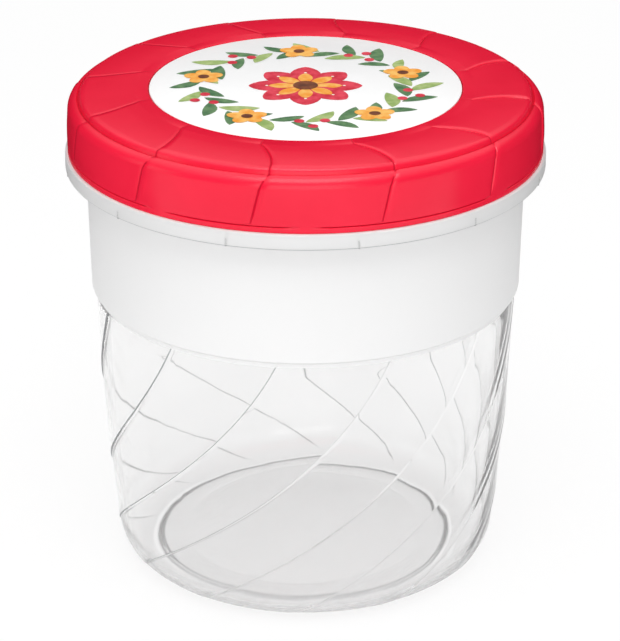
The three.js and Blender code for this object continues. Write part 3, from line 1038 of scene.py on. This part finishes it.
def dome_light(tree):
    """The dark room round the table: dim at the horizon, bright where the ceiling's light is"""
    place = add_node(tree, "ShaderNodeTexCoord").outputs["Generated"]
    height = add_node(tree, "ShaderNodeSeparateXYZ", {}, {"Vector": place}).outputs["Z"]
    rise = {"From Min": DOME_FOOT, "From Max": DOME_TOP, "To Min": DOME_DIM, "To Max": DOME_BRIGHT}
    return add_node(tree, "ShaderNodeMapRange", rise, {"Value": height}).outputs["Result"]


def shine_through(tree, plain, seen):
    """Camera, glossy and transmission rays meet one shader, and light meets the other."""
    path = add_node(tree, "ShaderNodeLightPath").outputs
    first = add_node(tree, "ShaderNodeMath", {"operation": "MAXIMUM"}, {
        0: path["Is Camera Ray"], 1: path["Is Glossy Ray"],
    })
    any_of_them = add_node(tree, "ShaderNodeMath", {"operation": "MAXIMUM"}, {
        0: first.outputs[0], 1: path["Is Transmission Ray"],
    })
    blend = add_node(tree, "ShaderNodeMixShader", {}, {0: any_of_them.outputs[0], 1: plain, 2: seen})
    return blend.outputs[0]


# The stage

def bare_material(name):
    """A material whose shader is still to be made"""
    material = bpy.data.materials.new(name)
    material.use_nodes = True
    tree = material.node_tree
    tree.nodes.remove(tree.nodes["Principled BSDF"])
    return material, tree


def make_floor():
    """A pale floor that is seen as white and keeps the jar's shadow"""
    bm = bmesh.new()
    bmesh.ops.create_grid(bm, x_segments=1, y_segments=1, size=FLOOR_SIZE)
    floor = finished("floor", bm)
    material, tree = bare_material("pale_floor")
    plain = add_node(tree, "ShaderNodeBsdfDiffuse", {"Color": colour("F0F0F0")}).outputs[0]
    shade = add_node(tree, "ShaderNodeBsdfDiffuse", {"Color": (FLOOR_SHADE,) * 3 + (1,)}).outputs[0]
    glow = add_node(tree, "ShaderNodeEmission", {"Strength": 1 - FLOOR_SHADE * FLOOR_LIGHT}).outputs[0]
    seen = add_node(tree, "ShaderNodeAddShader", {}, {0: shade, 1: glow})
    surface = shine_through(tree, plain, seen.outputs[0])
    tree.links.new(surface, tree.nodes["Material Output"].inputs["Surface"])
    floor.data.materials.append(material)


def make_world():
    """White for what is seen, a dimmer room for light, and the dome for the gloss on the outside"""
    world = bpy.data.worlds.new("studio")
    world.use_nodes = True
    tree = world.node_tree
    plain = tree.nodes["Background"]
    plain.inputs["Color"].default_value = (1, 1, 1, 1)
    plain.inputs["Strength"].default_value = ROOM_LIGHT
    strength = add_node(tree, "ShaderNodeMix", {"A": 1.0}, {
        "Factor": outer_gloss(tree), "B": dome_light(tree),
    })
    seen = add_node(
        tree, "ShaderNodeBackground", {"Color": (1, 1, 1, 1)}, {"Strength": strength.outputs["Result"]},
    )
    surface = shine_through(tree, plain.outputs[0], seen.outputs[0])
    tree.links.new(surface, tree.nodes["World Output"].inputs["Surface"])
    bpy.context.scene.world = world


def add_softbox(name, place, size, watts):
    """A square softbox that faces the middle of the jar"""
    lamp = bpy.data.lights.new(name, "AREA")
    lamp.energy = watts
    lamp.size = size
    box = bpy.data.objects.new(name, lamp)
    box.location = place
    aim = Vector((0, 0, LID_FOOT / 2)) - Vector(place)
    box.rotation_mode = "QUATERNION"
    box.rotation_quaternion = aim.to_track_quat("-Z", "Y")
    bpy.context.scene.collection.objects.link(box)


def make_flags():
    """Black cloth round the back of the lid, which only its gloss sees: it keeps the red deep."""
    bm = bmesh.new()
    ends = [bm.verts.new((0, FLAG_RADIUS, level)) for level in (FLAG_FOOT, FLAG_TOP)]
    bm.edges.new(ends)
    bmesh.ops.rotate(
        bm, verts=ends, cent=(0, 0, 0), matrix=Matrix.Rotation(-FLAG_SPREAD / 2, 3, "Z"),
    )
    spin(bm, FLAG_SPREAD, FLAG_STEPS, False)
    flags = finished("black_flags", bm)
    material, tree = bare_material("black_cloth")
    cloth = add_node(tree, "ShaderNodeBsdfDiffuse", {"Color": colour("0A0A0A")}).outputs[0]
    nothing = add_node(tree, "ShaderNodeBsdfTransparent").outputs[0]
    blend = add_node(tree, "ShaderNodeMixShader", {}, {0: outer_gloss(tree), 1: nothing, 2: cloth})
    tree.links.new(blend.outputs[0], tree.nodes["Material Output"].inputs["Surface"])
    flags.data.materials.append(material)
    flags.visible_camera = False
    flags.visible_diffuse = False
    flags.visible_transmission = False
    flags.visible_shadow = False


def make_camera():
    """The camera that the photograph was taken with, as its outlines give it"""
    data = bpy.data.cameras.new("camera")
    data.lens = CAMERA_FOCAL_PIXELS / PHOTO_HEIGHT * data.sensor_width
    data.shift_x = (PHOTO_WIDTH / 2 - JAR_AXIS_PIXEL) / PHOTO_HEIGHT
    data.clip_end = CAMERA_REACH
    camera = bpy.data.objects.new("camera", data)
    camera.location = (0, -CAMERA_DISTANCE, SHELF_TOP + CAMERA_HEIGHT)
    camera.rotation_euler = (math.pi / 2 - math.radians(CAMERA_PITCH), 0, 0)
    bpy.context.scene.collection.objects.link(camera)
    bpy.context.scene.camera = camera


bpy.context.scene.view_settings.view_transform = "Standard"
make_camera()
make_world()
make_floor()
make_flags()
for softbox in SOFTBOXES:
    add_softbox(*softbox)

clear = clear_polypropylene()
make_tub(clear, frosted_polypropylene(), satin_polypropylene(), painted_shade_line())
make_gussets(clear)
make_lid(red_polypropylene(), painted_shade_red())
make_seal(soft_elastomer())
make_label(white_film())
make_print({name: new_ink(name + "_ink", *tones) for name, tones in INK_TONES.items()})
